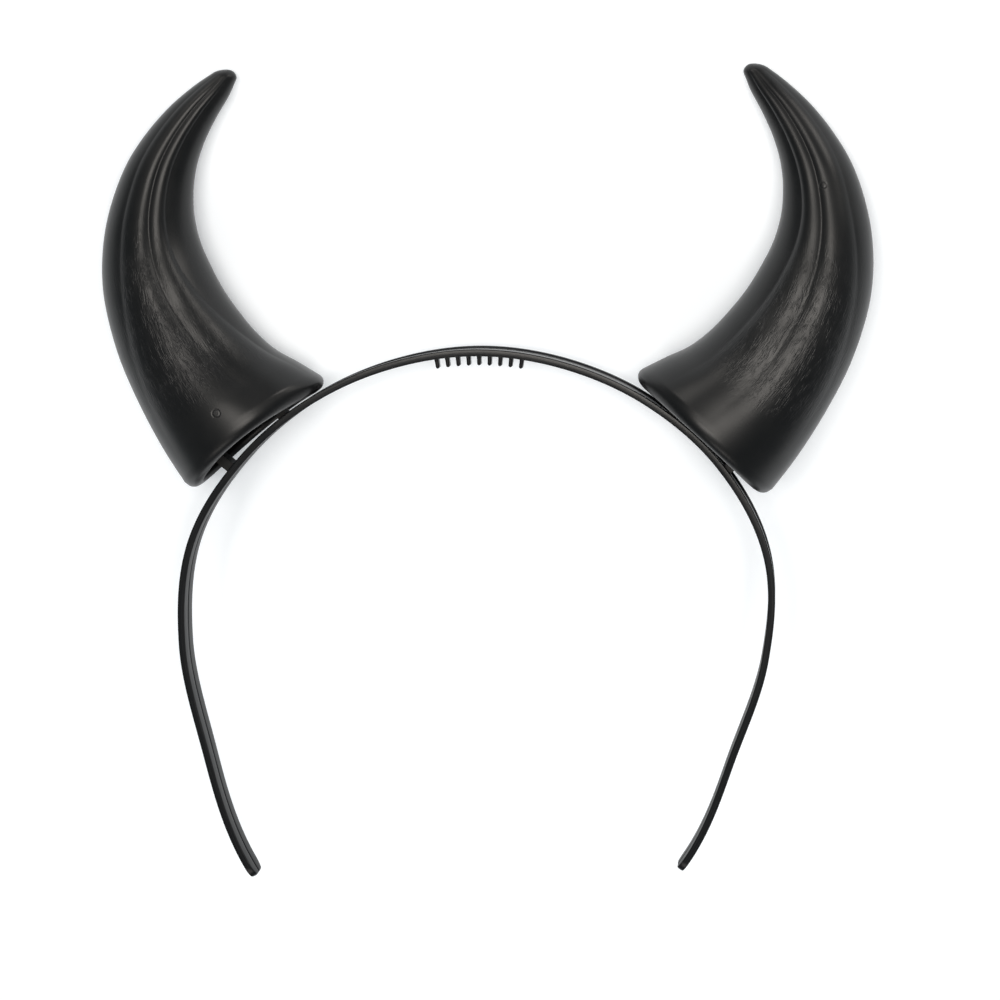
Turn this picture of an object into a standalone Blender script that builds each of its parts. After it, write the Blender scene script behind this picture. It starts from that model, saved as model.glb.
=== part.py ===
"""Devil horns headband: a springy plastic hair band with a short comb under its crown and two
hollow moulded horns astride it, each carried by one plain bracket inside its mouth.

Everything is modelled flat, in the plane of the band: x across, y towards the horn tips and
z towards the front, in millimetres about the centre of the wearer's head. The meshes are made
in metres, and an empty turns them to lie on their backs, as the object rests by itself.
"""
import math

import bmesh
import bpy
import numpy as np
from mathutils import Matrix

MM = 0.001
GAP = 0.3

# Band: wall thickness, width from front to back, and where the taper to the tips begins
BAND_THICKNESS = 1.75
CROWN_WIDTH = 10.0
TIP_WIDTH = 7.6
TAPER_FROM = 50.0
TIP_ANGLE = 142.6
TIP_ROUNDING = 3.4
BAND_STEP = 3.0

# Band: raised ribs along the edges of the outer face, groove along the inner face
RIB_WIDTH = 1.2
RIB_HEIGHT = 0.45
RIB_SLOPE = 0.35
GROOVE_HALF = 0.4
GROOVE_DEPTH = 0.25
EDGE_ROUNDING = 0.25

# Angle from the crown in degrees, radius of the left arm and of the right arm
BAND_ROWS = [
    (0, 61.5, 61.5),
    (20, 61.7, 62.5),
    (40, 63.8, 65.2),
    (60, 67.6, 69.0),
    (80, 72.6, 72.4),
    (100, 75.2, 72.5),
    (120, 79.3, 74.1),
    (142, 92.1, 84.3),
]

# Comb under the crown
TOOTH_COUNT = 9
TOOTH_PITCH = 2.64
TOOTH_THICKNESS = 1.05
TOOTH_WIDTH = 3.2
TOOTH_LENGTH = 2.6
TOOTH_ROOT = 0.7
TOOTH_ROUNDING = 0.3

# Where a horn's middle sits on the band, and the radius there that its table is drawn for
SEAT_ANGLE = 54.0
SEAT_RADIUS = 67.1

# Each horn's side of the band, how far it has slid towards the crown and stands off its seat,
# how far it rocks outwards there in degrees, and how far its rim rises off the ends in front
# and at the back
HORNS = {
    "left": (-1, -1.1, 0.4, -1.1, (2.2, 1.3)),
    "right": (1, 1.4, 0.0, 1.1, (1.7, 1.7)),
}

# Right horn, base to tip: middle of the section across and up, half its breadth in the plane
# of the band, slope of its breadth in degrees, depth as a share of breadth
HORN_ROWS = [
    (56.2, 42.1, 21.5, -40.3, 0.90),
    (61.4, 47.1, 20.0, -36.7, 0.90),
    (66.5, 52.3, 18.2, -32.4, 0.91),
    (71.0, 58.2, 16.9, -28.5, 0.91),
    (74.9, 64.6, 15.9, -24.5, 0.92),
    (78.1, 71.2, 14.8, -20.3, 0.92),
    (80.6, 78.3, 13.7, -16.1, 0.93),
    (82.1, 85.4, 12.3, -11.8, 0.93),
    (82.4, 92.8, 10.9, -7.5, 0.94),
    (81.4, 100.1, 9.6, -3.0, 0.94),
    (79.3, 107.1, 8.4, 1.6, 0.95),
    (75.9, 113.7, 7.1, 6.1, 0.96),
    (71.7, 119.7, 5.8, 10.6, 0.97),
    (67.4, 124.6, 4.4, 14.4, 1.0),
    (64.4, 127.9, 2.9, 16.8, 1.0),
    (62.8, 129.5, 1.2, 17.8, 1.0),
]
HORN_WALL = 1.5
CAVITY_END = 12.5

# Rim of a horn: its middle, half its breadth, the rounding outside it and the lip inside,
# and the rows over which the rise of its front and back fades out
RIM_MIDDLE = (54.3, 40.1)
RIM_HALF = 19.2
RIM_ROUNDING = 2.3
LIP_WIDTH = 1.3
LIP_HEIGHT = 1.4
SADDLE_ROWS = 4.0

# Ridges along the front and the back of a horn: places round the section where points lie,
# from the outer edge of the horn to its inner edge, and where the two crests run
AROUND = [0, 14, 28, 42, 54, 64, 74, 83, 91, 100, 108, 116, 126, 138, 152, 166, 180]
INNER_CREST = 108.0
OUTER_CREST_BASE = 72.0
OUTER_CREST_TIP = 84.0
CREST_HALF_WIDTH = 8.0
CREST_HEIGHT = 0.07
CREST_FADE_ROWS = 5.0

# Bracket in a horn: a bar across it over the rim, up to the wall, on two legs that stand in
# the channel of the band and slide along it with the horn
BAR_HEIGHT = 5.4
BAR_THICKNESS = 1.6
BAR_DEPTH = 8.0
LEG_ANGLES = (46.6, 62.2)
LEG_THICKNESS = 2.4
LEG_DEPTH = 5.2
LEG_LENGTH = 7.0

# Height of the centre of mass over the head's centre, for the way it comes to rest
BALANCE_Y = 60.0


def smooth(rows, column, at):
    """Values of one column of a table, on cubic curves through its rows."""
    at = np.asarray(at, float)
    key = np.array([row[0] for row in rows], float)
    value = np.array([row[column] for row in rows], float)
    slope = np.gradient(value, key)
    low = np.clip(np.searchsorted(key, at, side="right") - 1, 0, len(key) - 2)
    span = key[low + 1] - key[low]
    s = (at - key[low]) / span
    ends = value[low] * (1 + 2 * s) * (1 - s) ** 2 + value[low + 1] * s * s * (3 - 2 * s)
    bends = slope[low] * s * (1 - s) ** 2 - slope[low + 1] * s * s * (1 - s)
    return ends + span * bends


def mesh_object(name, points, faces, collection):
    """One object from points in millimetres and their faces."""
    mesh = bpy.data.meshes.new(name)
    mesh.from_pydata((np.asarray(points) * MM).tolist(), [], faces)
    mesh.validate()
    thing = bpy.data.objects.new(name, mesh)
    collection.objects.link(thing)
    return thing


def loft(name, rings, collection):
    """A closed body through rings of points, with a flat face at each end."""
    count, around = rings.shape[:2]
    faces = [tuple(range(around))[::-1]]
    for i in range(count - 1):
        for j in range(around):
            k = (j + 1) % around
            faces.append((i * around + j, i * around + k, (i + 1) * around + k, (i + 1) * around + j))
    faces.append(tuple(range((count - 1) * around, count * around)))
    thing = mesh_object(name, rings.reshape(-1, 3), faces, collection)
    body = bmesh.new()
    body.from_mesh(thing.data)
    bmesh.ops.recalc_face_normals(body, faces=body.faces)
    body.to_mesh(thing.data)
    body.free()
    return thing


def combine(target, other, operation):
    """Apply one Boolean step to an object, which keeps its name."""
    other.hide_render = True
    other.display_type = "WIRE"
    step = target.modifiers.new(operation.title(), "BOOLEAN")
    step.operation = operation
    step.object = other


# Band

def band_middle(angle):
    """Point in the middle of the band's wall at an angle from the crown, right positive."""
    both = [(-row[0], row[1]) for row in BAND_ROWS[:0:-1]] + [(row[0], row[2]) for row in BAND_ROWS]
    radius = smooth(both, 1, angle)
    turn = np.radians(angle)
    return np.stack([radius * np.sin(turn), radius * np.cos(turn)], -1)


def band_frame(angle):
    """Middle of the wall and the direction outwards from it, for each angle."""
    along = band_middle(angle + 0.1) - band_middle(angle - 0.1)
    along /= np.linalg.norm(along, axis=-1, keepdims=True)
    outward = np.stack([-along[..., 1], along[..., 0]], -1)
    return band_middle(angle), outward


def band_width(angle):
    """Width of the band from front to back, without the rounding of its tips."""
    share = np.clip((np.abs(angle) - TAPER_FROM) / (TIP_ANGLE - TAPER_FROM), 0, 1)
    return CROWN_WIDTH + (TIP_WIDTH - CROWN_WIDTH) * share


def band_section(width):
    """Outline of the wall, outwards and forwards, from its front outer edge round the back."""
    out = BAND_THICKNESS / 2
    front = width / 2
    fade = min(1.0, max(0.0, (width - 4) / 2))
    floor = out - RIB_HEIGHT * fade
    rib = front - RIB_WIDTH
    return [
        (out, front - EDGE_ROUNDING),
        (out, rib),
        (floor, rib - RIB_SLOPE),
        (floor, RIB_SLOPE - rib),
        (out, -rib),
        (out, EDGE_ROUNDING - front),
        (out - EDGE_ROUNDING, -front),
        (EDGE_ROUNDING - out, -front),
        (-out, EDGE_ROUNDING - front),
        (-out, -GROOVE_HALF),
        (GROOVE_DEPTH * fade - out, 0),
        (-out, GROOVE_HALF),
        (-out, front - EDGE_ROUNDING),
        (EDGE_ROUNDING - out, front),
        (out - EDGE_ROUNDING, front),
    ]


def make_band(parts, cutters):
    """The band with its comb, one moulding."""
    steps = round(2 * TIP_ANGLE / BAND_STEP)
    angles = np.linspace(-TIP_ANGLE, TIP_ANGLE, steps + 1)
    close = np.array([0.25, 0.6, 1.1, 1.9])
    angles = np.unique(np.concatenate([angles, close - TIP_ANGLE, TIP_ANGLE - close]))
    middle, outward = band_frame(angles)
    ends = np.abs([band_middle(a) - middle for a in (-TIP_ANGLE, TIP_ANGLE)])
    from_end = np.linalg.norm(ends, axis=-1).min(axis=0)
    inset = 1 - np.clip(from_end / TIP_ROUNDING, 0, 1)
    widths = band_width(angles) * (0.45 + 0.55 * np.sqrt(1 - inset * inset))
    rings = []
    for place, normal, width in zip(middle, outward, widths):
        section = np.array(band_section(width))
        flat = place + section[:, :1] * normal
        rings.append(np.column_stack([flat, section[:, 1]]))
    band = loft("headband", np.array(rings), parts)
    combine(band, make_teeth(cutters), "UNION")
    return band


def make_teeth(cutters):
    """The comb's teeth, rooted in the wall and square to it."""
    body = bmesh.new()
    inner_radius = BAND_ROWS[0][1] - BAND_THICKNESS / 2
    length = TOOTH_LENGTH + TOOTH_ROOT
    size = Matrix.Diagonal((TOOTH_THICKNESS * MM, length * MM, TOOTH_WIDTH * MM, 1))
    for i in range(TOOTH_COUNT):
        angle = math.degrees(TOOTH_PITCH / inner_radius) * (i - (TOOTH_COUNT - 1) / 2)
        middle, outward = band_frame(np.array(angle))
        place = middle + outward * (TOOTH_ROOT - BAND_THICKNESS / 2 - length / 2)
        turn = Matrix.Rotation(math.atan2(-outward[0], outward[1]), 4, "Z")
        move = Matrix.Translation((place[0] * MM, place[1] * MM, 0))
        bmesh.ops.create_cube(body, size=1, matrix=move @ turn @ size)
    mesh = bpy.data.meshes.new("teeth")
    body.to_mesh(mesh)
    body.free()
    teeth = bpy.data.objects.new("teeth", mesh)
    cutters.objects.link(teeth)
    edges = teeth.modifiers.new("Rounding", "BEVEL")
    edges.width = TOOTH_ROUNDING * MM
    edges.segments = 2
    return teeth


# Horns

def horn_at(row):
    """Middle, half breadth, slope and depth share of a horn's section at a place in its table."""
    numbered = [(i, *values) for i, values in enumerate(HORN_ROWS)]
    return [float(smooth(numbered, column, row)) for column in range(1, 6)]


def section_points(middle, half, slope, share, row, crests, rise):
    """One ring of a horn: an ellipse with two crests on its front and two on its back."""
    half_turn = np.array(AROUND, float)
    turn = np.concatenate([half_turn, 360 - half_turn[-2:0:-1]])
    fold = np.where(turn > 180, 360 - turn, turn)
    tipward = row / (len(HORN_ROWS) - 1)
    outer_crest = OUTER_CREST_BASE + (OUTER_CREST_TIP - OUTER_CREST_BASE) * tipward
    swell = np.exp(-((fold - INNER_CREST) / CREST_HALF_WIDTH) ** 2)
    swell += np.exp(-((fold - outer_crest) / CREST_HALF_WIDTH) ** 2)
    strength = crests * CREST_HEIGHT * min(1.0, row / CREST_FADE_ROWS)
    reach = half * (1 + strength * swell)
    along = reach * np.cos(np.radians(turn))
    depth = reach * share * np.sin(np.radians(turn))
    tilt = math.radians(slope)
    x = middle[0] + along * math.cos(tilt)
    y = middle[1] + along * math.sin(tilt)
    saddle = np.where(turn < 180, *rise) * max(0.0, 1 - row / SADDLE_ROWS) ** 2
    lift = saddle * np.sin(np.radians(turn)) ** 2
    return np.column_stack([x - lift * math.sin(tilt), y + lift * math.cos(tilt), depth])


def rim_ring(height, half, rise):
    """One ring of the rim, at a height over the plane of its ends."""
    slope = HORN_ROWS[0][3]
    tilt = math.radians(slope)
    middle = (RIM_MIDDLE[0] - height * math.sin(tilt), RIM_MIDDLE[1] + height * math.cos(tilt))
    return section_points(middle, half, slope, HORN_ROWS[0][4], 0, 0, rise)


def wall_rings(inset, last, crests, rise):
    """Rings up a horn's wall, each drawn in by the inset, from above the rim to a last row."""
    rows = np.append(np.arange(0, last, 1.0), last)
    rings = []
    for row in rows:
        x, y, half, slope, share = horn_at(row)
        drawn_in = half - inset
        depth = (half * share - inset) / drawn_in
        rings.append(section_points((x, y), drawn_in, slope, depth, row, crests, rise))
    return rings


def horn_rings(rise):
    """All rings of a horn's shell, from its tip down the outside and up the inside."""
    outside = wall_rings(0, len(HORN_ROWS) - 1, 1, rise)[::-1]
    rounding = []
    for turn in np.radians([60, 30, 0]):
        height = RIM_ROUNDING * (1 - math.cos(turn))
        rounding.append(rim_ring(height, RIM_HALF + RIM_ROUNDING * math.sin(turn), rise))
    lip = RIM_HALF - LIP_WIDTH
    lips = [rim_ring(0, lip, rise), rim_ring(LIP_HEIGHT, lip, rise)]
    inside = wall_rings(HORN_WALL, CAVITY_END, 0, rise)
    return np.array(outside + rounding + lips + inside)


def seated(rings, word):
    """Rings of the right horn set on its arm of the band, or mirrored for the left one."""
    side, slide, stand_off, lean, _ = HORNS[word]
    pivot = np.array([*RIM_MIDDLE, 0])
    rock = np.array(Matrix.Rotation(math.radians(lean), 3, "Z"))
    rocked = (rings - pivot) @ rock + pivot
    seat = band_middle(np.array(side * SEAT_ANGLE))
    lift = np.linalg.norm(seat) - SEAT_RADIUS + stand_off
    turn = math.radians(SEAT_ANGLE)
    outward = np.array([math.sin(turn), math.cos(turn), 0])
    to_crown = np.array([-math.cos(turn), math.sin(turn), 0])
    moved = rocked + lift * outward + slide * to_crown
    return moved * np.array([side, 1, 1])


def make_horn(word, parts):
    """One horn, a shell open at its mouth."""
    return loft(f"horn_{word}", seated(horn_rings(HORNS[word][-1]), word), parts)


# Brackets

def box(name, place, turn, size, collection):
    """A block with its middle at a place in the plane of the band, turned about z."""
    body = bmesh.new()
    scale = Matrix.Diagonal((size[0] * MM, size[1] * MM, size[2] * MM, 1))
    move = Matrix.Translation((place[0] * MM, place[1] * MM, 0))
    bmesh.ops.create_cube(body, size=1, matrix=move @ Matrix.Rotation(turn, 4, "Z") @ scale)
    mesh = bpy.data.meshes.new(name)
    body.to_mesh(mesh)
    body.free()
    thing = bpy.data.objects.new(name, mesh)
    collection.objects.link(thing)
    return thing


def room_rings(rise):
    """Rings of the room in a horn and its mouth, a gap clear of the wall and the lip."""
    lip = RIM_HALF - LIP_WIDTH - GAP
    mouth = [rim_ring(-LIP_HEIGHT, lip, rise), rim_ring(LIP_HEIGHT + GAP, lip, rise)]
    return np.array(mouth + wall_rings(HORN_WALL + GAP, CAVITY_END, 0, rise))


def make_bracket(word, parts, cutters):
    """A bar across the inside of a horn, with two legs down to the band."""
    name = f"horn_mount_{word}"
    side, slide, _, _, rise = HORNS[word]
    slope = math.radians(HORN_ROWS[0][3])
    bar_middle = rim_ring(BAR_HEIGHT, RIM_HALF, rise)[None]
    bar_middle = seated(bar_middle, word)[0, [0, len(AROUND) - 1]].mean(axis=0)
    size = (3 * RIM_HALF, BAR_THICKNESS, BAR_DEPTH)
    bracket = box(name, bar_middle, side * slope, size, parts)
    combine(bracket, loft(name + "_room", seated(room_rings(rise), word), cutters), "INTERSECT")
    foot = BAND_THICKNESS / 2 - RIB_HEIGHT + GAP
    for i, angle in enumerate(LEG_ANGLES):
        slid = angle - math.degrees(slide / SEAT_RADIUS)
        middle, outward = band_frame(np.array(side * slid))
        place = middle + outward * (foot + LEG_LENGTH / 2)
        turn = math.atan2(-outward[0], outward[1])
        size = (LEG_THICKNESS, LEG_LENGTH, LEG_DEPTH)
        combine(bracket, box(f"{name}_leg_{i}", place, turn, size, cutters), "UNION")
    return bracket


# Finish and rest

def paint(thing, name, colour, roughness):
    """A plastic material of its own for one object."""
    material = bpy.data.materials.new(name)
    material.use_nodes = True
    shader = material.node_tree.nodes["Principled BSDF"]
    shader.inputs["Base Color"].default_value = (*colour, 1)
    shader.inputs["Roughness"].default_value = roughness
    shader.inputs["Metallic"].default_value = 0
    thing.data.materials.append(material)
    thing.data.shade_smooth()
    thing.data.set_sharp_from_angle(angle=math.radians(40))


def rest_tilt(horn):
    """Tilt at which a horn touches the floor on both sides of the centre of mass."""
    low, high = 0.0, math.radians(30)
    for _ in range(40):
        tilt = (low + high) / 2
        height = horn[:, 2] * math.cos(tilt) - horn[:, 1] * math.sin(tilt)
        if horn[np.argmin(height), 1] < BALANCE_Y:
            low = tilt
        else:
            high = tilt
    return low


def lay_down(shells):
    """Turn everything with one empty so that it lies on the floor, centred on the origin."""
    tilt = rest_tilt(seated(horn_rings(HORNS["right"][-1]), "right").reshape(-1, 3))
    points = np.array([v.co for shell in shells for v in shell.data.vertices])
    across = points[:, 0]
    forth = points[:, 1] * math.cos(tilt) + points[:, 2] * math.sin(tilt)
    up = points[:, 2] * math.cos(tilt) - points[:, 1] * math.sin(tilt)
    rest = bpy.data.objects.new("at_rest", None)
    bpy.context.scene.collection.objects.link(rest)
    rest.rotation_euler = (-tilt, 0, 0)
    rest.location = (-(across.max() + across.min()) / 2, -(forth.max() + forth.min()) / 2, -up.min())
    for thing in bpy.context.scene.objects:
        if thing is not rest:
            thing.parent = rest


def main():
    for thing in list(bpy.data.objects):
        bpy.data.objects.remove(thing)
    parts = bpy.data.collections.new("devil_horns_headband")
    cutters = bpy.data.collections.new("cutters")
    bpy.context.scene.collection.children.link(parts)
    bpy.context.scene.collection.children.link(cutters)

    band = make_band(parts, cutters)
    paint(band, "band_plastic", (0.016, 0.015, 0.015), 0.3)
    shells = [band]
    for word in HORNS:
        horn = make_horn(word, parts)
        paint(horn, f"horn_plastic_{word}", (0.012, 0.013, 0.014), 0.45)
        paint(make_bracket(word, parts, cutters), f"mount_plastic_{word}", (0.010, 0.010, 0.011), 0.5)
        shells.append(horn)
    lay_down(shells)


main()
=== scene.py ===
# %% [markdown]
# # Devil horns headband
#
# A springy black hair band carries a pair of hollow plastic horns. This lesson dresses the plain
# solids of that headband with fine surfaces, one piece at a time, and ends with the light and
# the camera. Each surface is a grid of points worked out from the same few tables as the solids,
# so that it lies where they are.

# %% Load the solids
import math
import bpy
import numpy as np
from mathutils import Matrix, Vector


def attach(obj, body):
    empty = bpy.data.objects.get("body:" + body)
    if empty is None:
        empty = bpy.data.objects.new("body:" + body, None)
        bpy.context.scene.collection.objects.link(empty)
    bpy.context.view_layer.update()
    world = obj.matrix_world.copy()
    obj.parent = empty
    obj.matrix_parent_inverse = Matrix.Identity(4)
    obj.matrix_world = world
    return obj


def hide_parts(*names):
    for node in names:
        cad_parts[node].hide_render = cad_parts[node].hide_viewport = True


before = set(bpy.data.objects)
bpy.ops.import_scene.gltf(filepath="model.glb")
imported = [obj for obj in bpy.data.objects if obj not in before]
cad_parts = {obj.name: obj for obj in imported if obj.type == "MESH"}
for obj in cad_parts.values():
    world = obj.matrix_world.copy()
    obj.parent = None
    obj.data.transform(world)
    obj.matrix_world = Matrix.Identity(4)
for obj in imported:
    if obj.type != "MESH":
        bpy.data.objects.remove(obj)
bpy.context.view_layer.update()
print("solids:", sorted(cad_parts))

# %% [markdown]
# ## The plane of the band
#
# Everything is easiest to draw flat: x across the band, y towards the horn tips and z towards
# the front, in millimetres from the middle of the wearer's head. The real thing lies on the
# backs of its horns with their tips down, so one turn and one shift bring the drawing to rest
# on the floor.

# %% From the flat drawing to the floor
MM = 0.001
REST_TILT = math.radians(9.9311)
REST_SHIFT = np.array([-0.5464, -28.1348, 26.9358])


def laid(points):
    """Points of the flat drawing, turned about x by the rest tilt, shifted, and in metres."""
    c, s = math.cos(REST_TILT), math.sin(REST_TILT)
    x, y, z = np.moveaxis(np.asarray(points, float), -1, 0)
    turned = np.stack([x, c * y + s * z, c * z - s * y], -1)
    return (turned + REST_SHIFT) * MM


def through(rows, at):
    """All columns of a table at places along its first one. Between two rows each column is
    the cubic that has their values and their central differences as its slopes."""
    table = np.array(rows, float)
    key, value = table[:, 0], table[:, 1:]
    slope = np.gradient(value, key, axis=0)
    at = np.asarray(at, float)
    low = np.clip(np.searchsorted(key, at, side="right") - 1, 0, len(key) - 2)
    span = (key[low + 1] - key[low])[..., None]
    s = (at[..., None] - key[low][..., None]) / span
    ends = value[low] * (1 + 2 * s) * (1 - s) ** 2 + value[low + 1] * s * s * (3 - 2 * s)
    bends = slope[low] * s * (1 - s) ** 2 - slope[low + 1] * s * s * (1 - s)
    return ends + span * bends


def ease(value, start, end):
    """0 before start, 1 after end, and 3t squared less 2t cubed in between."""
    t = np.clip((np.asarray(value, float) - start) / (end - start), 0, 1)
    return t * t * (3 - 2 * t)


print("rest tilt:", round(math.degrees(REST_TILT), 2), "degrees")

# %% [markdown]
# ## Grids into meshes
#
# A tube is a grid whose last column joins its first. The rings at both ends are drawn together
# almost to a point before a small face closes them. Beside its place in the world, each point
# remembers its place on the piece before it was bent: how far along, across and forward. A
# grain that follows those numbers runs along the piece and has no seam anywhere.

# %% One closed tube
def tube(name, grid, straight):
    """A closed mesh over rings of points. Straight holds the same points before the bend."""
    rows, columns = grid.shape[:2]
    index = np.arange(rows * columns).reshape(rows, columns)
    beside = np.roll(index, -1, axis=1)
    quads = np.stack([index[:-1], beside[:-1], beside[1:], index[1:]], -1).reshape(-1, 4)
    faces = quads.tolist() + [index[0, ::-1].tolist(), index[-1].tolist()]
    mesh = bpy.data.meshes.new(name)
    mesh.from_pydata(laid(grid).reshape(-1, 3).tolist(), [], faces)
    layer = mesh.attributes.new("straight", "FLOAT_VECTOR", "POINT")
    layer.data.foreach_set("vector", (np.asarray(straight, np.float32) * MM).ravel())
    mesh.shade_smooth()
    piece = bpy.data.objects.new(name, mesh)
    bpy.context.scene.collection.objects.link(piece)
    volume = np.einsum("ij,ij->i", *faces_sum(mesh)).sum() / 6
    if volume < 0:
        mesh.flip_normals()
    print(name, len(mesh.vertices), "points,", round(abs(volume) * 1e6, 2), "cubic centimetres")
    return piece


def faces_sum(mesh):
    """Corner and edge product of every triangle, whose dot product is six times a volume."""
    mesh.calc_loop_triangles()
    corner = np.empty(len(mesh.loop_triangles) * 3, np.int32)
    mesh.loop_triangles.foreach_get("vertices", corner)
    place = np.empty(len(mesh.vertices) * 3)
    mesh.vertices.foreach_get("co", place)
    a, b, c = np.moveaxis(place.reshape(-1, 3)[corner.reshape(-1, 3)], 1, 0)
    return a, np.cross(b, c)


def weigh(piece, name, values):
    """Give every point of a piece one number, which its material can read."""
    layer = piece.data.attributes.new(name, "FLOAT", "POINT")
    layer.data.foreach_set("value", np.asarray(values, np.float32).ravel())


# %% [markdown]
# ## Plastics
#
# All of it is black plastic, so the finish is told by its gloss alone. The horns are a satin
# shell with a fine grain and, over the lower part of their ridges, long leathery wrinkles that
# the mould gave them. The band is harder and glossier, with faint scratches along it. A small
# helper keeps the node work short.

# %% Node helpers
def new_plastic(name, colour, roughness):
    """A Principled material and its node tree."""
    material = bpy.data.materials.new(name)
    material.use_nodes = True
    tree = material.node_tree
    shader = tree.nodes["Principled BSDF"]
    shader.inputs["Base Color"].default_value = (*colour, 1)
    shader.inputs["Roughness"].default_value = roughness
    return material, tree, shader


def node(tree, kind, inputs=(), **settings):
    """A node with its settings made and its inputs set to values or linked to sockets."""
    made = tree.nodes.new(kind)
    for key, value in settings.items():
        setattr(made, key, value)
    for key, value in dict(inputs).items():
        if isinstance(value, bpy.types.NodeSocket):
            tree.links.new(value, made.inputs[key])
        else:
            made.inputs[key].default_value = value
    return made


def noise(tree, vector, scale, detail=2.0, rough=0.5):
    """Fractal noise from 0 to 1 over a vector."""
    values = {"Vector": vector, "Scale": scale, "Detail": detail, "Roughness": rough}
    return node(tree, "ShaderNodeTexNoise", values).outputs["Fac"]


def spread(tree, value, low, high, to_low, to_high):
    """A value carried from one range to another, and held at its ends."""
    values = {"Value": value, "From Min": low, "From Max": high}
    values.update({"To Min": to_low, "To Max": to_high})
    return node(tree, "ShaderNodeMapRange", values).outputs["Result"]


def drawn_out(tree, vector, scale):
    """A vector with each of its numbers multiplied by one of the scale's."""
    return node(tree, "ShaderNodeMapping", {"Vector": vector, "Scale": scale}).outputs[0]


def product(tree, first, second):
    """Two values multiplied."""
    return node(tree, "ShaderNodeMath", {0: first, 1: second}, operation="MULTIPLY").outputs[0]


def total(tree, first, second):
    """Two values added."""
    return node(tree, "ShaderNodeMath", {0: first, 1: second}, operation="ADD").outputs[0]


print("node helpers are ready")

# %% [markdown]
# ### Horn plastic
#
# Three reliefs are added together before one Bump node: the grain of the whole shell, the
# wrinkles, which are noise drawn out along the straight horn, and the small round marks that the
# mould left. The wrinkles only show where the piece's own wrinkle number is high.

# %% Make a horn's plastic
GRAIN_PER_METRE = 2600.0
CLOUDS_PER_METRE = 90.0
CREASES_PER_METRE = (330, 3100, 3100)
BREAKS_PER_METRE = (260, 900, 900)
MARK_EDGE = 0.00025
RELIEF = 0.00006


def horn_plastic(name, marks):
    """Satin black shell. Marks are (place in the flat drawing, radius) in millimetres."""
    material, tree, shader = new_plastic(name, (0.005, 0.0052, 0.0056), 0.36)
    shader.inputs["Specular IOR Level"].default_value = 0.28
    place = node(tree, "ShaderNodeTexCoord").outputs["Object"]
    straight = node(tree, "ShaderNodeAttribute", attribute_name="straight").outputs["Vector"]
    grain = noise(tree, place, GRAIN_PER_METRE, 2.0, 0.6)
    clouds = noise(tree, place, CLOUDS_PER_METRE, 3.0, 0.6)

    creases = noise(tree, drawn_out(tree, straight, CREASES_PER_METRE), 1.0, 1.0, 0.5)
    creases = spread(tree, creases, 0.40, 0.62, 0.0, 1.0)
    breaks = noise(tree, drawn_out(tree, straight, BREAKS_PER_METRE), 1.0, 0.0, 0.5)
    breaks = spread(tree, breaks, 0.35, 0.65, 0.2, 1.0)
    where = node(tree, "ShaderNodeAttribute", attribute_name="wrinkle").outputs["Fac"]
    wrinkles = product(tree, product(tree, creases, breaks), where)

    relief = total(tree, product(tree, grain, 0.11), wrinkles)
    for middle, radius in marks:
        near = node(tree, "ShaderNodeVectorMath", {0: place, 1: laid(middle)}, operation="DISTANCE")
        offset = total(tree, near.outputs["Value"], -radius * MM)
        away = node(tree, "ShaderNodeMath", {0: offset}, operation="ABSOLUTE").outputs[0]
        relief = total(tree, relief, spread(tree, away, 0.0, MARK_EDGE, -0.9, 0.0))
    bump = node(tree, "ShaderNodeBump", {"Height": relief, "Strength": 1.0, "Distance": RELIEF})
    tree.links.new(bump.outputs[0], shader.inputs["Normal"])

    satin = total(tree, spread(tree, clouds, 0.3, 0.7, 0.34, 0.40), product(tree, wrinkles, 0.05))
    tree.links.new(satin, shader.inputs["Roughness"])
    shade = spread(tree, clouds, 0.3, 0.7, 0.0, 1.0)
    tint = node(tree, "ShaderNodeMix", {"Factor": shade}, data_type="RGBA")
    tint.inputs["A"].default_value = (0.0040, 0.0043, 0.0047, 1)
    tint.inputs["B"].default_value = (0.0062, 0.0063, 0.0066, 1)
    tree.links.new(tint.outputs["Result"], shader.inputs["Base Color"])
    print(name, "has", len(marks), "mould marks")
    return material


# %% [markdown]
# ### Band plastic
#
# The band is glossy on its outer face and duller on its inner one. Its scratches run along it:
# they are noise over the places on the straight strip, drawn out fifty times as far along the
# band as across it. The inner face is told by how far out a point lies on that strip.

# %% Make the band's plastic
INNER_MATTE = 0.2
SCRATCHES_PER_METRE = (90, 4500, 4500)


def band_plastic(name, roughness):
    """Glossy black plastic, with faint scratches along the straight piece."""
    material, tree, shader = new_plastic(name, (0.0068, 0.0073, 0.0082), roughness)
    shader.inputs["Specular IOR Level"].default_value = 0.19
    place = node(tree, "ShaderNodeTexCoord").outputs["Object"]
    straight = node(tree, "ShaderNodeAttribute", attribute_name="straight").outputs["Vector"]
    scratches = noise(tree, drawn_out(tree, straight, SCRATCHES_PER_METRE), 1.0, 3.0, 0.6)
    grain = noise(tree, place, 1500.0, 2.0, 0.5)
    relief = total(tree, product(tree, scratches, 0.35), product(tree, grain, 0.3))
    bump = node(tree, "ShaderNodeBump", {"Height": relief, "Strength": 1.0, "Distance": 0.00001})
    tree.links.new(bump.outputs[0], shader.inputs["Normal"])
    gloss = spread(tree, scratches, 0.3, 0.7, roughness - 0.04, roughness + 0.06)
    outward = node(tree, "ShaderNodeSeparateXYZ", {"Vector": straight}).outputs["Y"]
    matte = spread(tree, outward, -0.00085, -0.0007, INNER_MATTE, 0.0)
    tree.links.new(total(tree, gloss, matte), shader.inputs["Roughness"])
    return material


band_black = band_plastic("band_plastic", 0.24)
comb_black = band_plastic("comb_plastic", 0.28)
print("band plastics:", band_black.name, comb_black.name)

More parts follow.
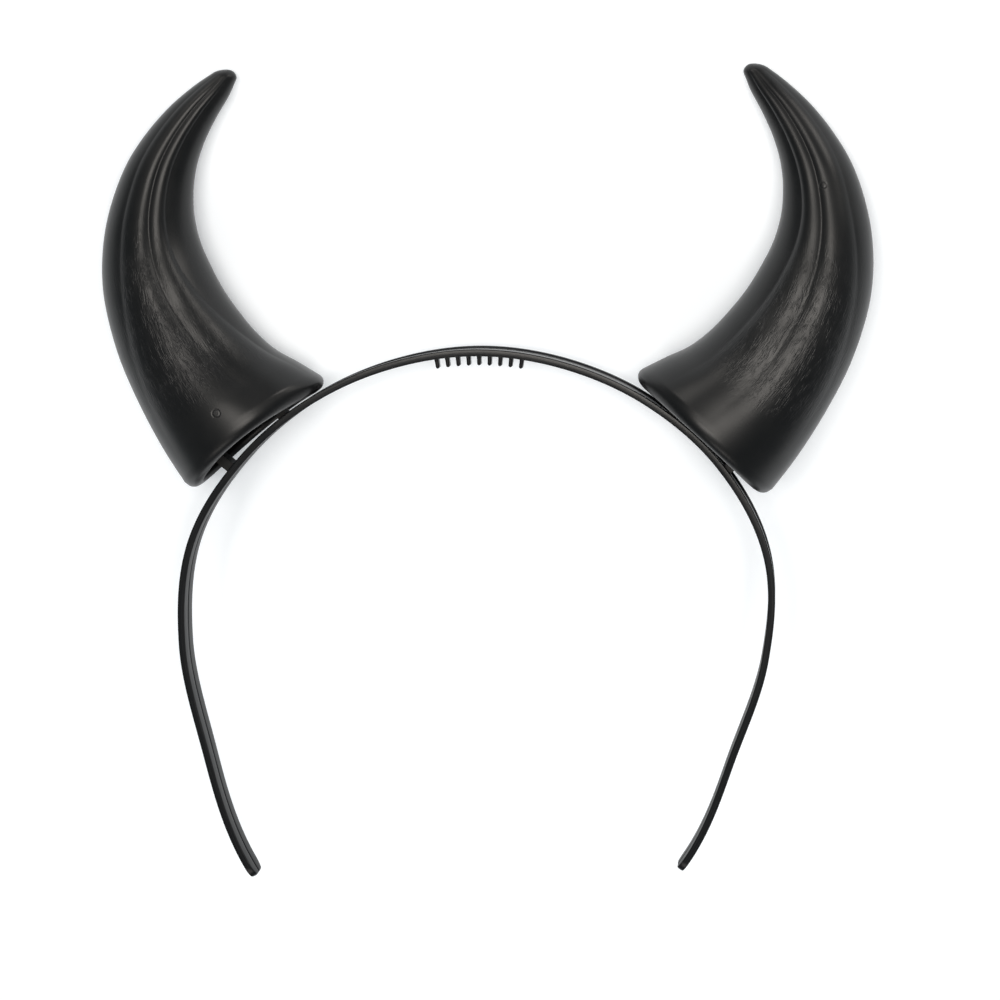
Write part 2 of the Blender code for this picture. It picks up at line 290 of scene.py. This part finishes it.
# %% [markdown]
# ## The band
#
# A hair band is one strip bent into an omega: round over the crown, fullest over the ears and
# pinched in towards the tips. It is drawn in polar form, radius against angle from the crown,
# from a short table for each arm, because the two arms of the real one aren't bent quite alike.

# %% The line that the band follows
BAND_THICKNESS = 1.75
CROWN_WIDTH = 10.0
TIP_WIDTH = 7.6
TAPER_FROM = 50.0
TIP_ANGLE = 142.6
TIP_ROUNDING = 3.4
BAND_ROWS = [
    (0, 61.5, 61.5),
    (20, 61.7, 62.5),
    (40, 63.8, 65.2),
    (60, 67.6, 69.0),
    (80, 72.6, 72.4),
    (100, 75.2, 72.5),
    (120, 79.3, 74.1),
    (142, 92.1, 84.3),
]
LEFT_ARM = [(-angle, left) for angle, left, _ in BAND_ROWS[:0:-1]]
RIGHT_ARM = [(angle, right) for angle, _, right in BAND_ROWS]


def band_middle(angle):
    """Radius times the sine and cosine of the angle from the crown, right positive."""
    turn = np.radians(angle)
    radius = through(LEFT_ARM + RIGHT_ARM, angle)[..., 0]
    return np.stack([radius * np.sin(turn), radius * np.cos(turn)], -1)


def band_frame(angle):
    """Middle of the wall, and its tangent turned a quarter to the left, which points out."""
    along = band_middle(angle + 0.1) - band_middle(angle - 0.1)
    along /= np.linalg.norm(along, axis=-1, keepdims=True)
    return band_middle(angle), np.stack([-along[..., 1], along[..., 0]], -1)


print("band is", round(float(np.ptp(band_middle(np.arange(-142, 143.0))[:, 0])), 1), "mm across")

# %% [markdown]
# The wall is a flat strip with two raised ribs along the edges of its outer face and a fine
# groove along its inner face. Its outline is drawn with straight lines, and then each corner is
# cut by a parabola, which stands for the small radius that a mould leaves.

# %% The outline of the wall
RIB_WIDTH = 1.2
RIB_HEIGHT = 0.45
RIB_SLOPE = 0.35
GROOVE_HALF = 0.5
GROOVE_DEPTH = 0.38
CORNER_RADII = [0.3, 0.22, 0.2, 0.2, 0.22, 0.3, 0.3, 0.15, 0.12, 0.15, 0.3]
CORNER_STEPS = 5


def softened(corners, radii, steps):
    """Each corner B between neighbours A and C, as (1-t)^2 P + 2t(1-t) B + t^2 Q, where P and
    Q lie a radius away from B on the lines to A and to C."""
    before = np.roll(corners, 1, axis=-2) - corners
    after = np.roll(corners, -1, axis=-2) - corners
    reach_before = np.linalg.norm(before, axis=-1, keepdims=True)
    reach_after = np.linalg.norm(after, axis=-1, keepdims=True)
    radius = np.minimum(np.asarray(radii)[:, None], 0.48 * np.minimum(reach_before, reach_after))
    start = corners + before / reach_before * radius
    end = corners + after / reach_after * radius
    t = np.linspace(0, 1, steps)[:, None]
    bent = (
        (1 - t) ** 2 * start[..., None, :]
        + 2 * t * (1 - t) * corners[..., None, :]
        + t * t * end[..., None, :]
    )
    return bent.reshape(*corners.shape[:-2], -1, 2)


def wall_outlines(widths, thickness):
    """Outlines, outwards and forwards, for arrays of the wall's width and thickness. Where the
    wall is less than 6 mm wide, its ribs and its groove fade out."""
    out = thickness / 2
    front = widths / 2
    fade = np.clip((widths - 4) / 2, 0, 1)
    floor = out - RIB_HEIGHT * fade
    rib = front - RIB_WIDTH * np.clip(widths / 6, 0.3, 1)
    foot = rib - RIB_SLOPE
    groove = GROOVE_DEPTH * fade - out
    side = GROOVE_HALF + 0 * out
    corners = np.array([
        (out, front), (out, rib), (floor, foot), (floor, -foot), (out, -rib), (out, -front),
        (-out, -front), (-out, -side), (groove, 0 * out), (-out, side), (-out, front),
    ])
    return softened(np.moveaxis(corners, -1, 0), CORNER_RADII, CORNER_STEPS)


print("one outline has", wall_outlines(np.array([10.0]), np.array([1.75])).shape[1], "points")

# %% [markdown]
# The outline is now carried along the line. Towards each tip it narrows as a half ellipse does
# and its wall thins in the last half millimetre, which gives the blunt round end.

# %% Carry the outline along the band
BAND_STEP = 0.5
NARROWEST = 0.45
BLUNT_REACH = 0.6
BLUNT_CUT = 0.8


def make_band():
    """Points at the middle plus outwards times the normal, with forwards as z."""
    main = np.arange(-TIP_ANGLE, TIP_ANGLE, BAND_STEP)
    close = np.array([0.0, 0.01, 0.04, 0.09, 0.16, 0.25, 0.37, 0.6, 0.85, 1.1, 1.5, 1.9])
    angles = np.unique(np.concatenate([main, close - TIP_ANGLE, TIP_ANGLE - close]))
    middle, outward = band_frame(angles)
    steps = np.linalg.norm(np.diff(middle, axis=0), axis=1)
    along = np.concatenate([[0], np.cumsum(steps)])
    from_end = np.minimum(along, along[-1] - along)
    taper = np.clip((np.abs(angles) - TAPER_FROM) / (TIP_ANGLE - TAPER_FROM), 0, 1)
    inset = 1 - np.clip(from_end / TIP_ROUNDING, 0, 1)
    widths = CROWN_WIDTH + (TIP_WIDTH - CROWN_WIDTH) * taper
    widths = widths * (NARROWEST + (1 - NARROWEST) * np.sqrt(1 - inset**2))
    blunt = 1 - np.clip(from_end / BLUNT_REACH, 0, 1)
    thickness = BAND_THICKNESS * np.sqrt(np.clip(1 - blunt**2, 0.0004, 1))
    widths = widths - BLUNT_CUT * (1 - np.sqrt(1 - blunt**2))
    section = wall_outlines(widths, thickness)
    flat = middle[:, None] + section[..., :1] * outward[:, None]
    grid = np.concatenate([flat, section[..., 1:]], -1)
    run = np.broadcast_to(along[:, None, None], (*section.shape[:2], 1))
    return tube("band", grid, np.concatenate([run, section], -1))


band = make_band()
band.data.materials.append(band_black)
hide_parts("headband")
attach(band, "root")

# %% [markdown]
# ## The comb
#
# Under the crown stands a row of short teeth that hold the hair. Each is a thin plate, rounded
# at its free end and along its edges, and it grows a little wider into the band. One tooth is
# worked out as a rounded column, and the same numbers are laid out again for all of them.

# %% The teeth
TOOTH_COUNT = 9
TOOTH_PITCH = 2.64
TOOTH_THICKNESS = 1.05
TOOTH_WIDTH = 3.2
TOOTH_LENGTH = 2.6
TOOTH_END = 0.45
TOOTH_SIDES = 32
ROOT_FLARE = 0.55
ROOT_REACH = 0.22


def make_comb():
    """A rounded rectangle |x|^4 + |z|^4 = 1, scaled along the tooth. It narrows by a few
    hundredths towards the free end, rounds off there, and flares into the band at its root."""
    reach = BAND_ROWS[0][1] - BAND_THICKNESS / 2
    angles = math.degrees(TOOTH_PITCH / reach) * (np.arange(TOOTH_COUNT) - (TOOTH_COUNT - 1) / 2)
    turn = np.linspace(0, 2 * np.pi, TOOTH_SIDES + 1)[:-1]
    cosine, sine = np.cos(turn), np.sin(turn)
    blunt = (cosine**4 + sine**4) ** -0.25
    end_at = TOOTH_LENGTH - TOOTH_END
    tip = end_at + TOOTH_END * np.sin(np.linspace(0, np.pi / 2, 8)[1:])
    depth = np.concatenate([np.linspace(-0.5, 0.5, 8), np.linspace(0.7, end_at, 8), tip])
    end = np.clip((depth - end_at) / TOOTH_END, 0, 1)
    round_end = np.sqrt(np.clip(1 - end**2, 0.0006, 1))
    root = 1 + ROOT_FLARE * np.exp(-np.clip(depth, 0, None) / ROOT_REACH)
    half_x = TOOTH_THICKNESS / 2 * (root - 0.06 * depth / TOOTH_LENGTH) * round_end
    half_z = TOOTH_WIDTH / 2 * (1 - 0.10 * depth / TOOTH_LENGTH) * (0.75 + 0.25 * round_end)
    half_z = half_z * np.where(end > 0.98, 0.4, 1)
    middle, outward = band_frame(angles)
    along = np.stack([outward[:, 1], -outward[:, 0]], -1)
    place = middle[:, None] - outward[:, None] * (BAND_THICKNESS / 2 + depth[:, None])
    across = (half_x[:, None] * cosine * blunt)[None, ..., None] * along[:, None, None]
    flat = place[:, :, None] + across
    up = np.broadcast_to((half_z[:, None] * sine * blunt)[None, ..., None], (*flat.shape[:3], 1))
    grids = np.concatenate([flat, up], -1)
    return [tube(f"tooth_{i}", grid, grid) for i, grid in enumerate(grids)]


def joined(name, pieces):
    """Several pieces as one object."""
    with bpy.context.temp_override(active_object=pieces[0], selected_editable_objects=pieces):
        bpy.ops.object.join()
    pieces[0].name = name
    pieces[0].data.name = name
    return pieces[0]


comb = joined("comb", make_comb())
comb.data.materials.append(comb_black)
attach(comb, "root")

# %% [markdown]
# ## The horns
#
# A horn is a curved cone. Its table gives, at places from base to tip, the middle of the
# section, half its breadth in the plane of the band, the slope of that breadth, and its depth as
# a share of the breadth. The shell is one grid that runs from the tip down its outside, round
# the rim and up its inside, so the wall has its thickness and the mouth is open.

# %% The table of a horn
HORN_ROWS = [
    (56.2, 42.1, 21.5, -40.3, 0.90),
    (61.4, 47.1, 20.0, -36.7, 0.90),
    (66.5, 52.3, 18.2, -32.4, 0.91),
    (71.0, 58.2, 16.9, -28.5, 0.91),
    (74.9, 64.6, 15.9, -24.5, 0.92),
    (78.1, 71.2, 14.8, -20.3, 0.92),
    (80.6, 78.3, 13.7, -16.1, 0.93),
    (82.1, 85.4, 12.3, -11.8, 0.93),
    (82.4, 92.8, 10.9, -7.5, 0.94),
    (81.4, 100.1, 9.6, -3.0, 0.94),
    (79.3, 107.1, 8.4, 1.6, 0.95),
    (75.9, 113.7, 7.1, 6.1, 0.96),
    (71.7, 119.7, 5.8, 10.6, 0.97),
    (67.4, 124.6, 4.4, 14.4, 1.0),
    (64.4, 127.9, 3.0, 16.8, 1.0),
    (62.8, 129.5, 2.4, 17.8, 1.0),
]
LAST_ROW = len(HORN_ROWS) - 1.0
NUMBERED = [(i, *values) for i, values in enumerate(HORN_ROWS)]
HORN_WALL = 1.5
CAVITY_END = 12.5
RIM_MIDDLE = np.array([54.3, 40.1])
RIM_HALF = 19.2
RIM_ROUNDING = 2.3
LIP_WIDTH = 1.3
LIP_HEIGHT = 1.4
SADDLE_ROWS = 4.0
SEAT_ANGLE = 54.0
SEAT_RADIUS = 67.1
print("a horn's table has", len(HORN_ROWS), "rows")

# %% [markdown]
# The two horns come from one table, but each sits on the band in its own way, a little nearer
# to the crown or further from it and a degree inwards or outwards. Their ridges differ too: the
# left one's outer ridge runs down to a round mark, and the right one keeps both to the flare.

# %% How each horn sits, and where its ridges run
SEATS = {
    "left": {"side": -1, "slide": -1.1, "off": 0.4, "lean": -1.1, "rise": (2.2, 1.3)},
    "right": {"side": 1, "slide": 1.4, "off": 0.0, "lean": 1.1, "rise": (1.7, 1.7)},
}
# Row, turn and height of the inner ridge, turn and height of the outer one. Turns are degrees
# from the outer edge, and heights are shares of half the breadth.
RIDGE_ROWS = {
    "left": [
        (0, 146, 0.0, 92, 0.0),
        (1.2, 145, 0.02, 92, 0.045),
        (2.6, 140, 0.04, 91, 0.065),
        (4.2, 130, 0.045, 90.5, 0.08),
        (6, 119, 0.055, 90, 0.085),
        (8.5, 112, 0.07, 88, 0.08),
        (11, 110, 0.08, 85, 0.075),
        (13, 109, 0.07, 83, 0.07),
        (15, 108, 0.01, 82, 0.01),
    ],
    "right": [
        (0, 118, 0.0, 74, 0.0),
        (2, 118, 0.025, 74, 0.025),
        (3.5, 117, 0.05, 74.5, 0.055),
        (6, 113.5, 0.07, 78, 0.075),
        (8.5, 111, 0.08, 82, 0.075),
        (11, 111.5, 0.08, 80, 0.07),
        (13, 111, 0.07, 79.5, 0.065),
        (15, 110, 0.01, 80, 0.01),
    ],
}
# The tip is a quarter circle over its last rows: its radius and how far it reaches past the
# last row, in millimetres, and the length of a row there.
TIP_RADIUS = 2.5
TIP_REACH = 0.26
TIP_SPAN = 2.26
TIP_RINGS = 18
OUTSIDE_RINGS = 200


def stations():
    """Rings of a horn's whole shell, from the tip down its outside, round its rim and up its
    inside: row in the table, middle, half breadth, half depth, slope and ridge strength."""
    t = np.linspace(0.02, np.pi / 2, TIP_RINGS)
    tip_rows = LAST_ROW + (TIP_REACH - TIP_RADIUS * (1 - np.cos(t))) / TIP_SPAN
    rows = np.concatenate([tip_rows, np.linspace(tip_rows[-1], 0, OUTSIDE_RINGS + 1)[1:]])
    round_end = np.concatenate([np.sin(t), np.ones(OUTSIDE_RINGS)])
    x, y, half, slope, share = through(NUMBERED, rows).T
    half = half * round_end
    outside = np.stack([rows, x, y, half, half * share, slope, np.ones_like(rows)], -1)

    # The rim: a quarter round on the outside, a narrow flat, and a lip that turns inwards
    base_slope, base_share = HORN_ROWS[0][3], HORN_ROWS[0][4]
    t = np.linspace(80, 0, 9)
    round_height = RIM_ROUNDING * (1 - np.cos(np.radians(t)))
    round_half = RIM_HALF + RIM_ROUNDING * np.sin(np.radians(t))
    lip = RIM_HALF - LIP_WIDTH
    height = np.concatenate([round_height, [0, 0, 0.12, LIP_HEIGHT - 0.15, LIP_HEIGHT]])
    breadth = np.concatenate([round_half, [RIM_HALF - 0.2, lip + 0.15, lip, lip, lip + 0.1]])
    sine, cosine = math.sin(math.radians(base_slope)), math.cos(math.radians(base_slope))
    rim = np.zeros((len(height), 7))
    rim[:, 1] = RIM_MIDDLE[0] - height * sine
    rim[:, 2] = RIM_MIDDLE[1] + height * cosine
    rim[:, 3] = breadth
    rim[:, 4] = breadth * base_share
    rim[:, 5] = base_slope

    # The inside lies one wall under the outside, and closes in three short steps
    rows = np.linspace(0, CAVITY_END, 30)
    x, y, half, slope, share = through(NUMBERED, rows).T
    inside = np.stack([rows, x, y, half - HORN_WALL, half * share - HORN_WALL, slope, 0 * rows], -1)
    close = np.repeat(inside[-1:], 3, 0)
    close[:, 3:5] *= np.array([0.8, 0.4, 0.01])[:, None]
    return np.concatenate([outside, rim, inside, close])


print("a horn has", len(stations()), "rings")

# %% [markdown]
# Seen from the front, each horn carries two ridges side by side, like two cords under the skin,
# with a crease between them and another on the hollow side. A parabola makes such a cord: it is
# round on top and stops short at its foot, which is what leaves the crease. The rim is a saddle:
# front and back rise off the band, and the ends come down to it. Near its inner end the rim
# turns in early, which leaves a dark lip under a thin line of light.

# %% The surface of a horn
AROUND = 320
CREASE_SOFTNESS = 0.012
PINCH_AT = 140.0
PINCH_SPREAD = 26.0
PINCH_DEPTH = 0.15
PINCH_REACH = 4.5
INNER_FLANK = 0.85
OUTER_FLANK = 1.9


def cord(away):
    """The parabola 1 - u^2 where it is above zero, with its foot rounded off a little."""
    v = 1 - away**2
    return (v + np.sqrt(v * v + CREASE_SOFTNESS)) / 2


def horn_grid(word):
    """Middle, plus reach times the cosine of the turn along the breadth, plus reach times the
    sine of the turn in depth, plus the saddle. Reach is the breadth and its ridges."""
    ring = stations()[:, None, :]
    row, x, y, half, depth, slope, crests = np.moveaxis(ring, -1, 0)
    turn = np.linspace(0, 360, AROUND + 1)[None, :-1] - 90
    fold = np.where(turn < 0, -turn, turn)
    fold = np.where(fold > 180, 360 - fold, fold)
    inner_at, inner, outer_at, outer = through(RIDGE_ROWS[word], row[:, 0]).T[..., None]
    width = (inner_at - outer_at) / 2
    from_inner = (fold - inner_at) / width / np.where(fold > inner_at, INNER_FLANK, 1)
    from_outer = (fold - outer_at) / width / np.where(fold < outer_at, OUTER_FLANK, 1)
    scale = 1 + crests * (inner * cord(from_inner) + outer * cord(from_outer))
    angle = np.radians(turn)
    above = np.hypot(x - RIM_MIDDLE[0], y - RIM_MIDDLE[1])
    pinch = np.exp(-(((fold - PINCH_AT) / PINCH_SPREAD) ** 2))
    pinch = pinch * np.clip(1 - above / PINCH_REACH, 0, 1)
    across = half * scale * np.cos(angle)
    front = depth * scale * np.sin(angle) * (1 - PINCH_DEPTH * pinch)
    tilt = np.radians(slope)
    seat = SEATS[word]
    rise = np.where((turn > 0) & (turn < 180), *seat["rise"])
    lift = rise * np.clip(1 - row / SADDLE_ROWS, 0, 1) ** 2 * np.sin(angle) ** 2
    flat_x = x + across * np.cos(tilt) - lift * np.sin(tilt)
    flat_y = y + across * np.sin(tilt) + lift * np.cos(tilt)
    straight = np.stack([0 * across, across, front], -1)
    return np.stack([flat_x, flat_y, front], -1), straight, row, from_inner, from_outer


def seated(grid, word):
    """Rock about the rim's middle, lift by the seat's own radius, slide, and mirror."""
    seat = SEATS[word]
    rock = np.array(Matrix.Rotation(math.radians(seat["lean"]), 3, "Z"))
    pivot = np.array([*RIM_MIDDLE, 0])
    own = np.linalg.norm(band_middle(np.array(seat["side"] * SEAT_ANGLE)))
    lift = own - SEAT_RADIUS + seat["off"]
    sine, cosine = math.sin(math.radians(SEAT_ANGLE)), math.cos(math.radians(SEAT_ANGLE))
    outward, to_crown = np.array([sine, cosine, 0]), np.array([-cosine, sine, 0])
    moved = (grid - pivot) @ rock + pivot
    moved = moved + lift * outward + seat["slide"] * to_crown
    return moved * np.array([seat["side"], 1, 1])


print("a ring of a horn has", AROUND, "points")

# %% [markdown]
# The wrinkle number is high along the ridges in the lower half, where the real shell looks like
# creased leather. The broad wrinkles are in the mesh, and the fine ones are in the plastic.
# They come from a lattice of random heights, joined smoothly. It goes round the horn a whole
# number of times, so it closes.

# %% Make both horns
WRINKLES = {
    "left": {"inner": 0.35, "outer": 1.0, "from": 1.0, "to": 9.0},
    "right": {"inner": 1.0, "outer": 0.95, "from": 1.2, "to": 8.5},
}
WRINKLES_BEGIN = 1.5
WRINKLES_END = 3.5
WRINKLE_CELLS = 106
WRINKLE_LENGTH = 7.0
WRINKLE_HEIGHT = 0.016
MARKS = {
    "left": [((-61.5, 47.0, 18.1), 1.15)],
    "right": [((82.2, 103.0, 8.7), 0.9)],
}


def lattice(along, around, seed):
    """Random heights at whole numbers of both coordinates, blended by 3t^2 - 2t^3 between."""
    heights = np.random.default_rng(seed).random((64, WRINKLE_CELLS))
    i, j = np.floor(along).astype(int), np.floor(around).astype(int)
    s, t = (v * v * (3 - 2 * v) for v in (along - i, around - j))
    corner = [heights[(i + a) % 64, (j + b) % WRINKLE_CELLS] for a in (0, 1) for b in (0, 1)]
    near = corner[0] * (1 - t) + corner[1] * t
    far = corner[2] * (1 - t) + corner[3] * t
    return near * (1 - s) + far * s


def make_horn(word):
    """The shell of one horn, with its wrinkles, wrinkle number and plastic."""
    grid, straight, row, from_inner, from_outer = horn_grid(word)
    ring = stations()
    along = np.cumsum(np.pad(np.linalg.norm(np.diff(ring[:, 1:3], axis=0), axis=1), (1, 0)))
    straight[..., 0] = along[:, None]
    much = WRINKLES[word]
    on_inner = much["inner"] * np.exp(-(from_inner**2))
    on_outer = much["outer"] * np.exp(-(from_outer**2))
    begin = ease(row, much["from"], much["from"] + WRINKLES_BEGIN)
    end = 1 - ease(row, much["to"] - WRINKLES_END, much["to"])
    wrinkle = np.clip(on_inner + on_outer, 0, 1) * (begin * end) * ring[:, None, 6]
    column = np.arange(AROUND)[None] / AROUND * WRINKLE_CELLS
    height = lattice(along[:, None] / WRINKLE_LENGTH + 0 * column, column + 0 * wrinkle, len(word))
    outwards = np.cross(np.roll(grid, -1, 1) - np.roll(grid, 1, 1), np.gradient(grid, axis=0))
    outwards /= np.linalg.norm(outwards, axis=-1, keepdims=True) + 1e-9
    grid = grid + outwards * (wrinkle * (height - 0.5) * WRINKLE_HEIGHT)[..., None]
    piece = tube(f"{word}_horn", seated(grid, word), straight)
    weigh(piece, "wrinkle", wrinkle)
    piece.data.materials.append(horn_plastic(f"horn_plastic_{word}", MARKS[word]))
    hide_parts(f"horn_{word}")
    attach(piece, "root")
    return piece


horns = {word: make_horn(word) for word in SEATS}

# %% [markdown]
# ## The brackets
#
# Inside each horn, a bar with two legs holds it to the band. Almost none of it shows: a dark
# post and a dark tab, between the rim of the left horn and the band. Their solids have the right
# shape already, so they stay, and only get a satin finish.

# %% Finish the brackets
def bracket_plastic(name):
    """Satin black with a fine grain over Object coordinates, for a mesh with no pattern map."""
    material, tree, shader = new_plastic(name, (0.0035, 0.0035, 0.0036), 0.42)
    shader.inputs["Specular IOR Level"].default_value = 0.2
    place = node(tree, "ShaderNodeTexCoord").outputs["Object"]
    grain = noise(tree, place, 1800.0, 3.0, 0.6)
    clouds = noise(tree, place, 220.0, 2.0, 0.5)
    bump = node(tree, "ShaderNodeBump", {"Height": grain, "Strength": 1.0, "Distance": 0.00001})
    tree.links.new(bump.outputs[0], shader.inputs["Normal"])
    tree.links.new(spread(tree, clouds, 0.3, 0.7, 0.38, 0.48), shader.inputs["Roughness"])
    return material


bracket_black = bracket_plastic("bracket_plastic")
for word in SEATS:
    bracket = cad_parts[f"horn_mount_{word}"]
    bracket.data.materials.clear()
    bracket.data.materials.append(bracket_black)
print("brackets keep their solids")

# %% [markdown]
# ## Floor and light
#
# The picture is a product shot on white. A pale floor carries the object and lights its
# undersides. It glows a little by itself, so that it comes out white under gentle lamps.

# %% Pale floor
floor_mesh = bpy.data.meshes.new("floor")
floor_mesh.from_pydata([(-4, -4, 0), (4, -4, 0), (4, 4, 0), (-4, 4, 0)], [], [(0, 1, 2, 3)])
floor = bpy.data.objects.new("floor", floor_mesh)
bpy.context.scene.collection.objects.link(floor)
paper, _, paper_shader = new_plastic("paper", (0.85, 0.885, 0.93), 0.9)
paper_shader.inputs["Specular IOR Level"].default_value = 0.1
paper_shader.inputs["Emission Color"].default_value = (0.96, 0.98, 1.0, 1)
paper_shader.inputs["Emission Strength"].default_value = 0.2
floor_mesh.materials.append(paper)
print("the floor is", round(floor.dimensions.x), "m wide")

# %% [markdown]
# Black plastic shows what it reflects. A wide soft box overhead draws the lines along the
# ridges, and three small ones low around it touch the flares and the arms.

# %% Lamps and room
LAMP_COLOUR = (1.0, 0.95, 0.89)
TARGET = Vector((0, 0, 0.02))


def soft_box(name, place, size, power):
    """A rectangular lamp at a place, turned to the object, in metres and watts."""
    lamp = bpy.data.lights.new(name, "AREA")
    lamp.shape = "RECTANGLE"
    lamp.size, lamp.size_y = size
    lamp.energy = power
    lamp.color = LAMP_COLOUR
    holder = bpy.data.objects.new(name, lamp)
    holder.location = place
    holder.rotation_euler = (TARGET - Vector(place)).to_track_quat("-Z", "Y").to_euler()
    bpy.context.scene.collection.objects.link(holder)


soft_box("box_over", (0.08, 0.36, 1.2), (0.75, 0.45), 13)
soft_box("box_far_left", (-0.45, 1.05, 0.5), (0.5, 0.4), 3)
soft_box("box_far_right", (0.8, 0.85, 0.3), (0.4, 0.35), 4)
soft_box("box_near", (-0.15, -0.85, 1.05), (0.7, 0.5), 3)

world = bpy.data.worlds.new("studio")
bpy.context.scene.world = world
world.use_nodes = True
world.node_tree.nodes["Background"].inputs["Color"].default_value = (0.80, 0.93, 1.0, 1)
world.node_tree.nodes["Background"].inputs["Strength"].default_value = 0.2
bpy.context.scene.view_settings.view_transform = "Standard"
print("four soft boxes and a pale room")

# %% [markdown]
# ## The camera
#
# The photograph looks down on the band from a little over the right horn, so the left arm shows
# its inner face and the crown its outer one. The camera's place and directions were fitted to
# the outlines in the flat drawing, and they are laid to rest with everything else.

# %% Camera
EYE = np.array([71.438, 122.643, 609.0])
TO_RIGHT = np.array([0.99399, 0.00822, -0.10914])
TO_TOP = np.array([-0.02530, 0.98743, -0.15604])
LENS = 90.56


def direction(vector):
    """A direction of the flat drawing, in the frame of the floor."""
    start, end = laid([(0, 0, 0), vector])
    return Vector(end - start).normalized()


right, top = direction(TO_RIGHT), direction(TO_TOP)
lens = bpy.data.cameras.new("camera")
lens.lens = LENS
lens.sensor_width = 36
lens.clip_start = 0.01
camera = bpy.data.objects.new("camera", lens)
camera.matrix_world = Matrix([right, top, right.cross(top)]).transposed().to_4x4()
camera.location = laid(EYE)
bpy.context.scene.collection.objects.link(camera)
bpy.context.scene.camera = camera
print("camera is", round(camera.location.z, 3), "m above the floor")
